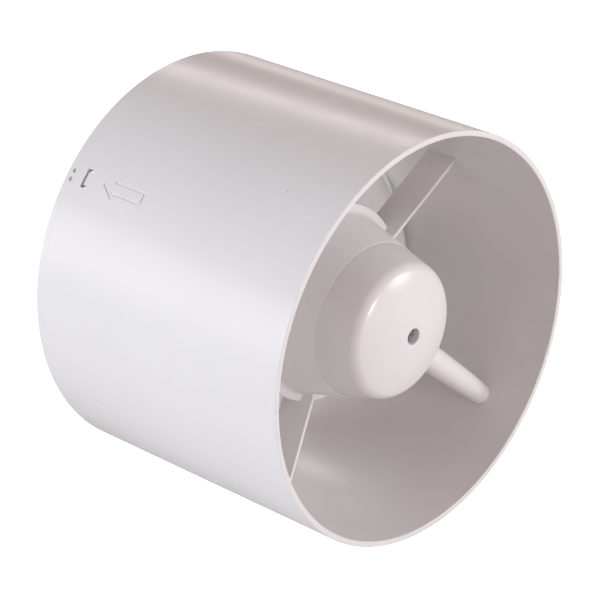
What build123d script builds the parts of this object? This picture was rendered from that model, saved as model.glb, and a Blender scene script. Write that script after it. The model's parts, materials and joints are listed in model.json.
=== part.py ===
from build123d import *
import os
from math import asin, atan, cos, degrees, pi, radians, sin, sqrt, tan

# In-line bathroom extractor fan for a 150 mm round duct.
#
# Frame: +Y is the duct's axis and the direction of the air, from the intake (front) to the
# outlet (rear); +Z is up and +X is to the right as seen from the intake. The origin is at the
# centre of the duct tube. Angles round the duct are measured from +X towards +Z. Millimetres.

# ---- Driving dimensions ------------------------------------------------------------------

# Duct tube
duct_diameter = 150.0
duct_wall = 2.14
duct_length = 117.0
rim_chamfer = 0.35
throat_step = 0.4            # the bore is this much smaller round the impeller

# Directions round the duct
conduit_angle = -40.5        # the cable conduit, in line with one vane
vane_count = 5

# Motor pod: carrier and cap
pod_face_inset = 5.7         # the top of the cap's dome lies this far inside the duct's front rim
pod_dome_radius = 57.0
pod_face_edge_radius = 5.4
cap_length = 20.4
pod_wall = 1.8
shoulder_radius = 33.0       # the pod's size, where its cone ends and its flange flares out
shoulder_length = 15.4       # parting line to shoulder
carrier_fall = 4.6           # how much the carrier's cone narrows to the parting line
cap_fall = 5.22              # and the cap's, from there to the level of its front
flare_rise = 3.75
flare_length = 4.7
flare_middle = (1.6, 2.5)    # rise and length where the flare's arc is half way
flange_length = 8.3          # the straight band behind the flare
vane_thickness = 1.4
vane_length = 13.5
cap_hole_radius = 2.95

# Cable conduit
conduit_inset = 5.1          # ahead of the parting line
conduit_root_radius = 5.5
conduit_mouth_radius = 4.1
cable_bore_radius = 3.1
conduit_flange_inset = 6.1   # from the cap's outside to the conduit's inner end

# Motor
shaft_radius = 3.0
rotor_radius = 13.7
air_gap = 0.3
stack_length = 14.0
yoke_width = 4.7
pole_width = 9.0
pole_shoe_depth = 3.5
bush_radius = 5.5
bush_length_front = 5.8
bush_length_rear = 8.0

# Impeller
impeller_gap = 5.0           # carrier to impeller, along the duct
impeller_depth = 24.0
hub_wall = 1.8
hub_edge_radius = 5.0
blade_count = 4
blade_pitch = 150.0          # axial advance of the blade's helix in one turn
blade_thickness = 1.9
blade_camber = 0.8
blade_phase = -12.3          # angle of the first blade's middle
tip_clearance = 1.16

# Rear ring
ring_flange_length = 3.0
ring_skirt_length = 11.5
ring_wall = 1.5
hook_count = 3
window_width = 7.2
window_length = 2.7
window_inset = 6.8           # from the tube's seam to the middle of the window

# Fits
slip = 0.1                   # sliding fit of mouldings
running = 0.03               # radial clearance of the shaft in its bushes
screw_play = 0.05            # between a screw and its pilot hole

# ---- Places worked out from them ---------------------------------------------------------

duct_radius = duct_diameter / 2
bore_radius = duct_radius - duct_wall
throat_radius = bore_radius - throat_step
front = -duct_length / 2
rear = duct_length / 2
tube_rear = rear - ring_flange_length
mark_angle = conduit_angle + 180
window_y = tube_rear - window_inset

cap_rear_radius = shoulder_radius - carrier_fall
cap_front_radius = cap_rear_radius - cap_fall
flange_radius = shoulder_radius + flare_rise
cap_face = front + pod_face_inset
parting = cap_face + cap_length
shoulder = parting + shoulder_length
flange_front = shoulder + flare_length
carrier_rear = flange_front + flange_length
vane_front = carrier_rear - vane_length

conduit_y = parting - conduit_inset
conduit_inner_end = cap_rear_radius - 0.9 - conduit_flange_inset
cone_slope = carrier_fall / shoulder_length
impeller_front = carrier_rear + impeller_gap


def pod_radius(y):
    """Outer radius of the carrier's cone at a station y."""
    return cap_rear_radius + cone_slope * (y - parting)


def across(y):
    """Plane across the duct at y: local x is +X, local y is +Z, normal towards the intake."""
    return Plane(origin=(0, y, 0), x_dir=(1, 0, 0), z_dir=(0, -1, 0))


def spoke(angle, radius, y=0):
    """Plane facing out along a radius: local x runs along +Y, local y round towards +angle."""
    a = radians(angle)
    return Plane(
        origin=(radius * cos(a), y, radius * sin(a)),
        x_dir=(0, 1, 0),
        z_dir=(cos(a), 0, sin(a)),
    )


def turned(*outline, mode=Mode.ADD):
    """Turn a closed outline of (radius, y) points round the duct's axis into the open part."""
    with BuildSketch(Plane.XY) as profile:
        with BuildLine():
            Polyline(*outline, close=True)
        make_face()
    revolve(profile.sketch, axis=Axis.Y, mode=mode)


def washer(inner, outer, y_low, y_high, mode=Mode.ADD):
    """A plain ring round the duct's axis."""
    turned((inner, y_low), (outer, y_low), (outer, y_high), (inner, y_high), mode=mode)


def rod(radius, angle, pitch_radius, y_low, y_high, mode=Mode.ADD):
    """A round bar along the duct at an angle and pitch radius."""
    with BuildSketch(across(y_high)) as section:
        with Locations((pitch_radius * cos(radians(angle)), pitch_radius * sin(radians(angle)))):
            Circle(radius)
    extrude(section.sketch, amount=y_high - y_low, mode=mode)


def block(angle, r_low, r_high, y_low, y_high, width, offset=0, mode=Mode.ADD):
    """A square block standing on a radius: radii, stations, and width round the duct."""
    with BuildSketch(spoke(angle, r_low, (y_low + y_high) / 2)) as section:
        with Locations((0, offset)):
            Rectangle(y_high - y_low, width)
    extrude(section.sketch, amount=r_high - r_low, mode=mode)


def keep(piece, name):
    """Label a finished piece and write its STEP file."""
    piece.part.label = name
    export_step(piece.part, f"parts/{name}.step")


os.makedirs("parts", exist_ok=True)

# ---- Duct tube ---------------------------------------------------------------------------
# Open at both ends. The bore steps in behind the vanes, so the carrier stops against a ledge.

window_angles = [mark_angle + index * 360 / hook_count for index in range(hook_count)]
skirt_front = tube_rear - ring_skirt_length
pip_radius = 0.9
pip_depth = 0.8
pip_angles = (mark_angle + 0.1, mark_angle + 2.6)
arrow_turn = 0.9             # the arrow's axis passes the middle of the window at this angle
arrow_angle = mark_angle + arrow_turn
arrow_tip = rear - 18.1
arrow_head_back = arrow_tip - 5.9
arrow_tail = arrow_tip - 20.0
arrow_head_half = 4.1
arrow_neck_half = 2.45
arrow_line = 0.8
arrow_depth = 0.35

with BuildPart() as duct_tube:
    turned(
        (bore_radius + rim_chamfer, front),
        (duct_radius - rim_chamfer, front),
        (duct_radius, front + rim_chamfer),
        (duct_radius, tube_rear - rim_chamfer / 2),
        (duct_radius - rim_chamfer / 2, tube_rear),
        (bore_radius, tube_rear),
        (bore_radius, skirt_front - slip),
        (throat_radius, skirt_front - slip - throat_step),
        (throat_radius, carrier_rear),
        (bore_radius, carrier_rear),
        (bore_radius, front + rim_chamfer),
    )
    # Windows for the rear ring's hooks.
    for angle in window_angles:
        with BuildSketch(spoke(angle, throat_radius - 1, window_y)) as window:
            RectangleRounded(window_length, window_width, 0.5)
        extrude(amount=duct_wall + 3, mode=Mode.SUBTRACT)
    # Two small pips across the seam with the rear ring.
    for angle in pip_angles:
        with BuildSketch(spoke(angle, duct_radius - pip_depth, tube_rear)):
            Circle(pip_radius)
        extrude(amount=pip_depth + 1, mode=Mode.SUBTRACT)
    # Airflow arrow, engraved as an outline that points to the outlet.
    with BuildSketch(spoke(arrow_angle, duct_radius - arrow_depth)) as arrow:
        with BuildLine():
            Polyline(
                (arrow_tip, 0),
                (arrow_head_back, arrow_head_half),
                (arrow_head_back, arrow_neck_half),
                (arrow_tail, arrow_neck_half),
                (arrow_tail, -arrow_neck_half),
                (arrow_head_back, -arrow_neck_half),
                (arrow_head_back, -arrow_head_half),
                close=True,
            )
        make_face()
        offset(amount=-arrow_line, mode=Mode.SUBTRACT)
    extrude(amount=arrow_depth + 1, mode=Mode.SUBTRACT)
    # Hole for the mouth of the cable conduit.
    with BuildSketch(spoke(conduit_angle, bore_radius - 2, conduit_y)):
        Circle(conduit_mouth_radius + slip)
    extrude(amount=duct_wall + 4, mode=Mode.SUBTRACT)
keep(duct_tube, "duct_tube")

# ---- Rear ring ---------------------------------------------------------------------------
# Snapped into the outlet end: a flange that finishes the tube, a skirt, and sprung hooks.

skirt_radius = bore_radius - slip
hook_width = 5.0
hook_length = 1.6
hook_inset = 1.2             # the hooks' tops lie this far below the tube's outside
hook_reach = slip + duct_wall - hook_inset
hook_slit = 0.9
hook_slit_length = 9.0

with BuildPart() as rear_ring:
    turned(
        (skirt_radius - ring_wall, rear),
        (duct_radius - rim_chamfer, rear),
        (duct_radius, rear - rim_chamfer),
        (duct_radius, tube_rear + rim_chamfer / 2),
        (duct_radius - rim_chamfer / 2, tube_rear),
        (skirt_radius, tube_rear),
        (skirt_radius, skirt_front + 0.6),
        (skirt_radius - 0.6, skirt_front),
        (skirt_radius - ring_wall, skirt_front),
    )
    for angle in window_angles:
        for side in (-1, 1):
            slit_offset = side * (hook_width + hook_slit) / 2
            block(angle, skirt_radius - ring_wall - 1, skirt_radius + 1, skirt_front - 1,
                  skirt_front + hook_slit_length, hook_slit, slit_offset, Mode.SUBTRACT)
        block(angle, skirt_radius - ring_wall / 2, skirt_radius + hook_reach,
              window_y - hook_length / 2, window_y + hook_length / 2, hook_width)
    for angle in pip_angles:
        with BuildSketch(spoke(angle, duct_radius - pip_depth, tube_rear)):
            Circle(pip_radius)
        extrude(amount=pip_depth + 1, mode=Mode.SUBTRACT)
keep(rear_ring, "rear_ring")

# ---- Motor carrier -----------------------------------------------------------------------
# One moulding: the cone that holds the motor, its flared flange and the straight vanes.

vane_angles = [conduit_angle + index * 360 / vane_count for index in range(vane_count)]
boss_pitch = shoulder_radius - 1.7
boss_radius = 2.6
boss_angles = (90, 210, 330)
boss_rear = carrier_rear - 4.0
grommet_thickness = 2.0
bracket_plate_front = boss_rear + grommet_thickness
bracket_plate = 2.0
screw_radius = 1.25
tray_thickness = 1.5
cap_lip_length = 1.4
tray_front = parting + cap_lip_length + 0.2
tray_rear = tray_front + tray_thickness
pad_angles = (0, 90, 180, 270)
pad_depth = 3.0
pad_width = 6.5
tray_screw_pitch = cap_rear_radius - 5.6

with BuildPart() as motor_carrier:
    with BuildSketch(Plane.XY):
        with BuildLine():
            Line((0, parting), (cap_rear_radius, parting))
            Line((cap_rear_radius, parting), (shoulder_radius, shoulder))
            ThreePointArc(
                (shoulder_radius, shoulder),
                (shoulder_radius + flare_middle[0], shoulder + flare_middle[1]),
                (flange_radius - 0.3, flange_front),
            )
            Line((flange_radius - 0.3, flange_front), (flange_radius, flange_front + 0.3))
            Line((flange_radius, flange_front + 0.3), (flange_radius, carrier_rear))
            Line((flange_radius, carrier_rear), (0, carrier_rear))
            Line((0, carrier_rear), (0, parting))
        make_face()
    revolve(axis=Axis.Y)
    for angle in vane_angles:
        block(angle, shoulder_radius - 1, bore_radius - slip / 2, vane_front, carrier_rear,
              vane_thickness)
    # Hollow for the motor, open at both ends.
    turned(
        (0, parting - 1),
        (cap_rear_radius - pod_wall - cone_slope, parting - 1),
        (shoulder_radius - pod_wall, shoulder),
        (flange_radius - pod_wall, flange_front),
        (flange_radius - pod_wall, carrier_rear + 1),
        (0, carrier_rear + 1),
        mode=Mode.SUBTRACT,
    )
    # Screw bosses for the motor, each with a web to the wall.
    for angle in boss_angles:
        rod(boss_radius, angle, boss_pitch, shoulder - 1.5, boss_rear)
        block(angle, boss_pitch, flange_radius - pod_wall / 2, shoulder - 0.5, boss_rear, 2)
        rod(screw_radius + screw_play, angle, boss_pitch, shoulder + 0.5, boss_rear + 1,
            Mode.SUBTRACT)
    # Pads for the terminal tray.
    for angle in pad_angles:
        block(angle, tray_screw_pitch - 1.9, pod_radius(tray_rear) - pod_wall / 2,
              tray_rear, tray_rear + pad_depth, pad_width)
        rod(screw_radius + screw_play, angle, tray_screw_pitch, tray_rear - 1,
            tray_rear + pad_depth + 1, Mode.SUBTRACT)
    # Scallop in the front edge that clears the conduit.
    with BuildSketch(spoke(conduit_angle, 20, conduit_y)):
        Circle(conduit_root_radius + 2 * slip)
    extrude(amount=15, mode=Mode.SUBTRACT)
keep(motor_carrier, "motor_carrier")

# ---- Motor cap ---------------------------------------------------------------------------
# Domed cover over the wiring, held by one screw down its centre hole. A slot straddles the
# conduit.

cap_wall = pod_wall
screw_shelf = cap_face + 4.3
cap_boss_radius = 4.6
cap_boss_end = cap_face + 6.3
cap_screw_radius = 1.5


def domed(face, dome_radius, edge_radius, inset, mode=Mode.ADD):
    """A solid with the cap's cone for its side and a dome with a rounded edge for its front."""
    cone_rise = cap_fall / cap_length
    level_radius = cap_front_radius - inset + cone_rise * (face - cap_face)
    reach = dome_radius - level_radius * cone_rise
    spread = 1 + cone_rise**2
    sag = (reach - sqrt(reach**2 - spread * level_radius**2)) / spread
    corner = (level_radius + cone_rise * sag, face + sag)
    half = asin(corner[0] / dome_radius) / 2
    with BuildSketch(Plane.XY) as section:
        with BuildLine():
            ThreePointArc(
                (0, face),
                (dome_radius * sin(half), face + dome_radius * (1 - cos(half))),
                corner,
            )
            Line(corner, (cap_rear_radius - inset, parting))
            Line((cap_rear_radius - inset, parting), (0, parting))
            Line((0, parting), (0, face))
        make_face()
        fillet(section.vertices().sort_by_distance(corner)[0], edge_radius)
    revolve(section.sketch, axis=Axis.Y, mode=mode)


with BuildPart() as motor_cap:
    inner_front = cap_face + cap_wall
    domed(cap_face, pod_dome_radius, pod_face_edge_radius, 0)
    domed(inner_front, pod_dome_radius - cap_wall, pod_face_edge_radius - cap_wall, cap_wall,
          Mode.SUBTRACT)
    lip_radius = cap_rear_radius - pod_wall - 1.5 * slip
    washer(lip_radius - 1.1, lip_radius, parting - 1.2, parting + cap_lip_length)
    washer(lip_radius - 0.4, cap_rear_radius - 0.4, parting - 1.2, parting)
    washer(0, cap_boss_radius, inner_front - 0.2, cap_boss_end)
    rod(cap_hole_radius, 0, 0, cap_face - 1, screw_shelf, Mode.SUBTRACT)
    rod(cap_screw_radius + 2 * slip, 0, 0, cap_face, cap_boss_end + 1, Mode.SUBTRACT)
    # Slot over the conduit, open to the rear edge.
    slot_radius = conduit_root_radius + 2 * slip
    with BuildSketch(spoke(conduit_angle, 15, conduit_y)):
        Circle(slot_radius)
        with Locations((slot_radius, 0)):
            Rectangle(2 * slot_radius, 2 * slot_radius)
    extrude(amount=20, mode=Mode.SUBTRACT)
keep(motor_cap, "motor_cap")

cap_screw_length = 8.0
cap_screw_head = 2.0

with BuildPart() as cap_screw:
    rod(cap_hole_radius - 0.35, 0, 0, screw_shelf - cap_screw_head, screw_shelf)
    fillet(cap_screw.edges().sort_by(Axis.Y)[0], 0.7)
    rod(cap_screw_radius, 0, 0, screw_shelf, screw_shelf + cap_screw_length)
    for angle in (0, 90):
        with BuildSketch(across(screw_shelf - cap_screw_head + 1.1)):
            Rectangle(3.2, 0.7, rotation=angle)
        extrude(amount=2, mode=Mode.SUBTRACT)
keep(cap_screw, "cap_screw")

# ---- Terminal tray, cord clamp and terminals ---------------------------------------------

tray_radius = cap_rear_radius - pod_wall - 0.5
post_radius = 4.2
lead_radius = 0.8
lead_hole_radius = 2.0
lead_stand_off = tray_screw_pitch - 4.4   # from the duct's axis, towards the terminals
way_pitch = 8.0
lead_pitch = sqrt(lead_stand_off**2 + way_pitch**2)
lead_turn = degrees(atan(way_pitch / lead_stand_off))
lead_angles = (mark_angle - lead_turn, mark_angle + lead_turn)
clamp_low = 13.5
clamp_high = 18.0
clamp_width = 17.0
clamp_screw_offset = 5.9
clamp_front = conduit_y - 5.3
small_head_radius = 1.8
small_head = 1.3
clamp_middle = (clamp_low + clamp_high) / 2
clamp_screw_pitch = sqrt(clamp_middle**2 + clamp_screw_offset**2)
clamp_screw_turn = degrees(atan(clamp_screw_offset / clamp_middle))
clamp_screw_angles = (conduit_angle - clamp_screw_turn, conduit_angle + clamp_screw_turn)

with BuildPart() as terminal_tray:
    washer(0, tray_radius, tray_front, tray_rear)
    rod(post_radius, 0, 0, cap_boss_end, tray_rear)
    rod(cap_screw_radius + screw_play, 0, 0, cap_boss_end - 1, cap_boss_end + 9, Mode.SUBTRACT)
    for angle in pad_angles[::2]:
        rod(screw_radius + slip, angle, tray_screw_pitch, tray_front - 1, tray_rear + 1,
            Mode.SUBTRACT)
    for angle in lead_angles:
        rod(lead_hole_radius, angle, lead_pitch, tray_front - 1, tray_rear + 1, Mode.SUBTRACT)
    for angle in clamp_screw_angles:
        rod(screw_radius + screw_play, angle, clamp_screw_pitch, tray_front - 1, tray_rear + 1,
            Mode.SUBTRACT)
keep(terminal_tray, "terminal_tray")

with BuildPart() as cord_clamp:
    block(conduit_angle, clamp_low, clamp_high, clamp_front, tray_front, clamp_width)
    fillet(cord_clamp.edges().group_by(Axis.Y)[0], 0.6)
    with BuildSketch(spoke(conduit_angle, clamp_low - 1, conduit_y)):
        Circle(cable_bore_radius - slip)
    extrude(amount=clamp_high - clamp_low + 2, mode=Mode.SUBTRACT)
    for angle in clamp_screw_angles:
        rod(screw_radius + slip, angle, clamp_screw_pitch, clamp_front - 1, tray_front + 1,
            Mode.SUBTRACT)
keep(cord_clamp, "cord_clamp")


def pan_screw(angle, pitch_radius, seat, end, shank):
    """A pan-head screw with its head in front of the seat and its shank behind it."""
    rod(small_head_radius, angle, pitch_radius, seat - small_head, seat)
    rod(shank, angle, pitch_radius, seat, end)


with BuildPart() as clamp_screws:
    for angle in clamp_screw_angles:
        pan_screw(angle, clamp_screw_pitch, clamp_front, tray_rear - 0.2, screw_radius)
keep(clamp_screws, "clamp_screws")

with BuildPart() as tray_screws:
    for angle in pad_angles[::2]:
        pan_screw(angle, tray_screw_pitch, tray_front, tray_rear + pad_depth - 0.2, screw_radius)
keep(tray_screws, "tray_screws")

# Three-way terminal block on the far side of the post from the cable.
way_count = 3
block_low = 6.2
block_high = 15.2
block_front = tray_front - 11.0
way_offsets = [(index - (way_count - 1) / 2) * way_pitch for index in range(way_count)]
cavity_radius = 2.6
insert_clear = 0.1
well_radius = 2.2
insert_hole_radius = 1.5
terminal_y = tray_front - 4.6
block_middle = (block_low + block_high) / 2
terminal_screw_radius = 1.4


def way(offset):
    """Angle and pitch radius of the middle of one terminal way."""
    return mark_angle + degrees(atan(offset / block_middle)), sqrt(block_middle**2 + offset**2)


with BuildPart() as terminal_block:
    block(mark_angle, block_low, block_high, block_front, tray_front, way_count * way_pitch)
    for offset in way_offsets:
        with BuildSketch(spoke(mark_angle, block_low - 1, terminal_y)):
            with Locations((0, offset)):
                Circle(cavity_radius + insert_clear)
        extrude(amount=block_high - block_low + 2, mode=Mode.SUBTRACT)
        rod(well_radius, *way(offset), block_front - 1, terminal_y, Mode.SUBTRACT)
keep(terminal_block, "terminal_block")

with BuildPart() as terminal_inserts:
    for offset in way_offsets:
        with BuildSketch(spoke(mark_angle, block_low + 1, terminal_y)):
            with Locations((0, offset)):
                Circle(cavity_radius)
                Circle(insert_hole_radius, mode=Mode.SUBTRACT)
        extrude(amount=block_high - block_low - 2)
        rod(terminal_screw_radius + screw_play, *way(offset), block_front, terminal_y,
            Mode.SUBTRACT)
keep(terminal_inserts, "terminal_inserts")

with BuildPart() as terminal_screws:
    for offset in way_offsets:
        angle, pitch = way(offset)
        rod(terminal_screw_radius, angle, pitch, block_front + 1.5, terminal_y - 1.2)
        with BuildSketch(across(block_front + 2.3)):
            with Locations((pitch * cos(radians(angle)), pitch * sin(radians(angle)))):
                Rectangle(4, 0.5)
        extrude(amount=2, mode=Mode.SUBTRACT)
keep(terminal_screws, "terminal_screws")

# ---- Cable conduit -----------------------------------------------------------------------
# Tapered tube from the pod to a flush mouth in the duct's wall.

conduit_mouth = duct_radius - 0.5
conduit_flange_radius = 6.3
conduit_flange = 1.0

with BuildPart() as cable_conduit:
    with BuildSketch(spoke(conduit_angle, conduit_inner_end + conduit_flange, conduit_y)):
        Circle(conduit_root_radius)
    with BuildSketch(spoke(conduit_angle, bore_radius - 1.0, conduit_y)):
        Circle(conduit_mouth_radius)
    loft()
    with BuildSketch(spoke(conduit_angle, bore_radius - 1.0, conduit_y)):
        Circle(conduit_mouth_radius)
    extrude(amount=conduit_mouth - bore_radius + 1.0)
    with BuildSketch(spoke(conduit_angle, conduit_inner_end, conduit_y)):
        Circle(conduit_flange_radius)
    extrude(amount=conduit_flange)
    with BuildSketch(spoke(conduit_angle, conduit_inner_end - 1, conduit_y)):
        Circle(cable_bore_radius)
    extrude(amount=conduit_mouth - conduit_inner_end + 2, mode=Mode.SUBTRACT)
keep(cable_conduit, "cable_conduit")

# ---- Stator ------------------------------------------------------------------------------
# Four-pole shaded-pole motor: laminated stack, bobbins, coils and copper shading rings.

pole_count = 4
pole_angles = [index * 360 / pole_count for index in range(pole_count)]
bolt_angles = [angle + 180 / pole_count for angle in pole_angles]
stack_front = bracket_plate_front - stack_length
stack_rear = bracket_plate_front
stator_bore = rotor_radius + air_gap
front_bracket_end = stack_front - 9.0
bush_front_low = front_bracket_end + 0.2
bush_rear_low = stack_rear + 4.0
leg_radius = 2.15
leg_clearance = 0.3          # between the front bracket's legs and the cone round them
bolt_pitch = pod_radius(front_bracket_end) - pod_wall - leg_clearance - leg_radius
yoke_inner = bolt_pitch - yoke_width / 2
stator_radius = bolt_pitch + yoke_width / 2
bolt_radius = 1.25
shoe_outer = stator_bore + pole_shoe_depth
shoe_gap = 5.0
shading_offset = 5.5
shading_wire = 1.2
shading_slot_depth = 1.9

with BuildPart() as stator_core:
    with BuildSketch(across(stack_rear)):
        Circle(stator_radius)
        Circle(yoke_inner, mode=Mode.SUBTRACT)
        Circle(shoe_outer)
        with PolarLocations((yoke_inner + shoe_outer) / 2, pole_count):
            Rectangle(yoke_inner - shoe_outer + 2, pole_width)
        with PolarLocations((stator_bore + shoe_outer) / 2, pole_count, start_angle=bolt_angles[0]):
            Rectangle(2 * pole_shoe_depth, shoe_gap, mode=Mode.SUBTRACT)
        Circle(stator_bore, mode=Mode.SUBTRACT)
        with PolarLocations(bolt_pitch, pole_count, start_angle=bolt_angles[0]):
            Circle(bolt_radius + slip, mode=Mode.SUBTRACT)
        for angle in pole_angles:
            with Locations(Location((0, 0, 0), (0, 0, angle))):
                with Locations((stator_bore - 1 + (shading_slot_depth + 1) / 2, shading_offset)):
                    Rectangle(shading_slot_depth + 1, shading_wire + 2 * slip, mode=Mode.SUBTRACT)
    extrude(amount=stack_length)
keep(stator_core, "stator_core")

stack_middle = (stack_front + stack_rear) / 2
shading_low = stator_bore + 0.35
shading_depth = 1.4
shading_span = 8.6

with BuildPart() as shading_rings:
    for angle in pole_angles:
        with BuildSketch(spoke(angle, shading_low, stack_middle)) as ring:
            with Locations((0, shading_offset + shading_span / 2 - shading_wire / 2)):
                Rectangle(stack_length + 2 * shading_wire + 2 * slip, shading_span)
                Rectangle(stack_length + 2 * slip, shading_span - 2 * shading_wire, mode=Mode.SUBTRACT)
        extrude(ring.sketch, amount=shading_depth)
keep(shading_rings, "shading_rings")

bobbin_low = shoe_outer + 0.3
bobbin_wall = 0.9
bobbin_flange = 0.8
coil_build = 1.65
coil_reach = 3.0
neck_y = stack_length + 2 * slip
neck_width = pole_width + 2 * slip
tube_y = neck_y + 2 * bobbin_wall
tube_width = neck_width + 2 * bobbin_wall
coil_y = tube_y + 2 * coil_reach - 2 * bobbin_wall
coil_width = tube_width + 2 * coil_build
bobbin_high = sqrt(yoke_inner**2 - (coil_width / 2) ** 2) - 0.1


def frame_ring(angle, r_low, r_high, inner_y, inner_width, outer_y, outer_width):
    """A square ring round a pole's neck."""
    with BuildSketch(spoke(angle, r_low, stack_middle)) as ring:
        Rectangle(outer_y, outer_width)
        Rectangle(inner_y, inner_width, mode=Mode.SUBTRACT)
    extrude(ring.sketch, amount=r_high - r_low)


with BuildPart() as coil_bobbins:
    for angle in pole_angles:
        frame_ring(angle, bobbin_low, bobbin_high, neck_y, neck_width, tube_y, tube_width)
        for base in (bobbin_low, bobbin_high - bobbin_flange):
            frame_ring(angle, base, base + bobbin_flange, neck_y, neck_width, coil_y, coil_width)
keep(coil_bobbins, "coil_bobbins")

with BuildPart() as stator_coils:
    for angle in pole_angles:
        frame_ring(angle, bobbin_low + bobbin_flange, bobbin_high - bobbin_flange,
                   tube_y, tube_width, coil_y - 2 * slip, coil_width - 2 * slip)
keep(stator_coils, "stator_coils")

coil_front = stack_middle - coil_y / 2
cutout_length = 2.8
cutout_width = 7.0

with BuildPart() as thermal_cutout:
    block(pole_angles[1], bobbin_low + slip, bobbin_high - slip, coil_front - cutout_length,
          coil_front, cutout_width)
    fillet(thermal_cutout.edges().group_by(Axis.Y)[0], 0.6)
keep(thermal_cutout, "thermal_cutout")

# Two leads from the coils through the tray to the outer terminals.
lead_bend = 1.4
lead_tuck = 1.2

with BuildPart() as motor_leads:
    for side in (-1, 1):
        entry = spoke(mark_angle, block_high - lead_tuck).origin
        outside = spoke(mark_angle, lead_stand_off).origin
        sideways = spoke(mark_angle, 0).y_dir * side * way_pitch
        with BuildLine() as route:
            FilletPolyline(
                outside + sideways + Vector(0, coil_front - 0.5, 0),
                outside + sideways + Vector(0, terminal_y, 0),
                entry + sideways + Vector(0, terminal_y, 0),
                radius=lead_bend,
            )
        with BuildSketch(Plane(origin=route.line @ 0, z_dir=route.line % 0)) as section:
            Circle(lead_radius)
        sweep(section.sketch, path=route.line)
keep(motor_leads, "motor_leads")

# ---- Brackets, bushes and bolts ----------------------------------------------------------

end_plate = 1.5
housing_radius = 9.3
oil_recess_radius = 7.8
oil_recess_depth = 3.0
arm_width = 7.0
arm_reach = bolt_pitch
rear_cup_inner = yoke_inner + 0.2
rear_cup_wall = 1.5
rear_cup_end = bush_rear_low + bush_length_rear
bolt_head_radius = 2.1
bolt_head = 1.8

with BuildPart() as front_bracket:
    washer(bush_radius + slip / 5, housing_radius, front_bracket_end,
           bush_front_low + bush_length_front)
    for angle in bolt_angles:
        block(angle, housing_radius - 1, arm_reach, front_bracket_end, front_bracket_end + end_plate,
              arm_width - 3)
        rod(leg_radius, angle, bolt_pitch, front_bracket_end, stack_front)
        rod(bolt_radius + screw_play, angle, bolt_pitch, front_bracket_end + 1, stack_front + 1,
            Mode.SUBTRACT)
    washer(0, oil_recess_radius, bush_front_low + bush_length_front - oil_recess_depth,
           bush_front_low + bush_length_front + 1, mode=Mode.SUBTRACT)
keep(front_bracket, "front_bracket")

with BuildPart() as rear_bracket:
    washer(rear_cup_inner, flange_radius - pod_wall - 0.35, bracket_plate_front,
           bracket_plate_front + bracket_plate)
    washer(rear_cup_inner, rear_cup_inner + rear_cup_wall, bracket_plate_front, rear_cup_end)
    washer(bush_radius + slip / 5, rear_cup_inner + rear_cup_wall, rear_cup_end - end_plate,
           rear_cup_end)
    washer(bush_radius + slip / 5, housing_radius, bush_rear_low - 0.5, rear_cup_end)
    washer(0, oil_recess_radius, bush_rear_low - 1, bush_rear_low + oil_recess_depth,
           mode=Mode.SUBTRACT)
    for angle in bolt_angles:
        block(angle, rear_cup_inner - 2, rear_cup_inner + rear_cup_wall + 3,
              bracket_plate_front + bracket_plate, rear_cup_end - end_plate, arm_width, 0,
              Mode.SUBTRACT)
        rod(bolt_radius + slip, angle, bolt_pitch, bracket_plate_front - 1,
            bracket_plate_front + bracket_plate + 1, Mode.SUBTRACT)
    for angle in pole_angles:
        block(angle, housing_radius + 2, rear_cup_inner - 2, rear_cup_end - end_plate - 1,
              rear_cup_end + 1, 9.0, 0, Mode.SUBTRACT)
    for angle in boss_angles:
        rod(screw_radius + slip, angle, boss_pitch, bracket_plate_front - 1,
            bracket_plate_front + bracket_plate + 1, Mode.SUBTRACT)
keep(rear_bracket, "rear_bracket")

plate_rear = bracket_plate_front + bracket_plate

with BuildPart() as motor_bolts:
    for angle in bolt_angles:
        rod(bolt_radius, angle, bolt_pitch, front_bracket_end + 1.2, plate_rear)
        rod(bolt_head_radius, angle, bolt_pitch, plate_rear, plate_rear + bolt_head)
keep(motor_bolts, "motor_bolts")

with BuildPart() as mounting_grommets:
    for angle in boss_angles:
        rod(boss_radius, angle, boss_pitch, boss_rear, bracket_plate_front)
        rod(screw_radius + slip, angle, boss_pitch, boss_rear - 1, bracket_plate_front + 1,
            Mode.SUBTRACT)
keep(mounting_grommets, "mounting_grommets")

with BuildPart() as mounting_screws:
    for angle in boss_angles:
        rod(screw_radius, angle, boss_pitch, shoulder + 0.8, plate_rear)
        rod(bolt_head_radius, angle, boss_pitch, plate_rear, plate_rear + bolt_head)
keep(mounting_screws, "mounting_screws")


def bush(y_low, length, name):
    """A sintered plain bush with eased ends."""
    bore = shaft_radius + running
    ease = 0.3
    with BuildPart() as piece:
        turned(
            (bore, y_low),
            (bush_radius - ease, y_low),
            (bush_radius, y_low + ease),
            (bush_radius, y_low + length - ease),
            (bush_radius - ease, y_low + length),
            (bore, y_low + length),
        )
    keep(piece, name)


bush(bush_front_low, bush_length_front, "front_bush")
bush(bush_rear_low, bush_length_rear - 0.1, "rear_bush")

felt_low = (bush_front_low + bush_length_front - oil_recess_depth, bush_rear_low + 0.7)
felt_length = 2.3
retainer_low = (felt_low[0] + felt_length, bush_rear_low - 0.1)
retainer_length = 0.6

with BuildPart() as felt_rings:
    for low in felt_low:
        washer(bush_radius + slip, oil_recess_radius - slip, low, low + felt_length)
keep(felt_rings, "felt_rings")

with BuildPart() as bush_retainers:
    for low in retainer_low:
        washer(bush_radius + slip, oil_recess_radius - slip / 2, low, low + retainer_length)
keep(bush_retainers, "bush_retainers")

# ---- Rotor -------------------------------------------------------------------------------

shaft_front = bush_front_low + 0.2
impeller_rear = impeller_front + impeller_depth
shaft_rear = impeller_rear - 0.2
end_ring_length = 2.0
end_ring_inner = 8.0
end_ring_outer = 13.0
pin_radius = 1.0
pin_length = 12.0
pin_y = impeller_front + 10.0

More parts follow.
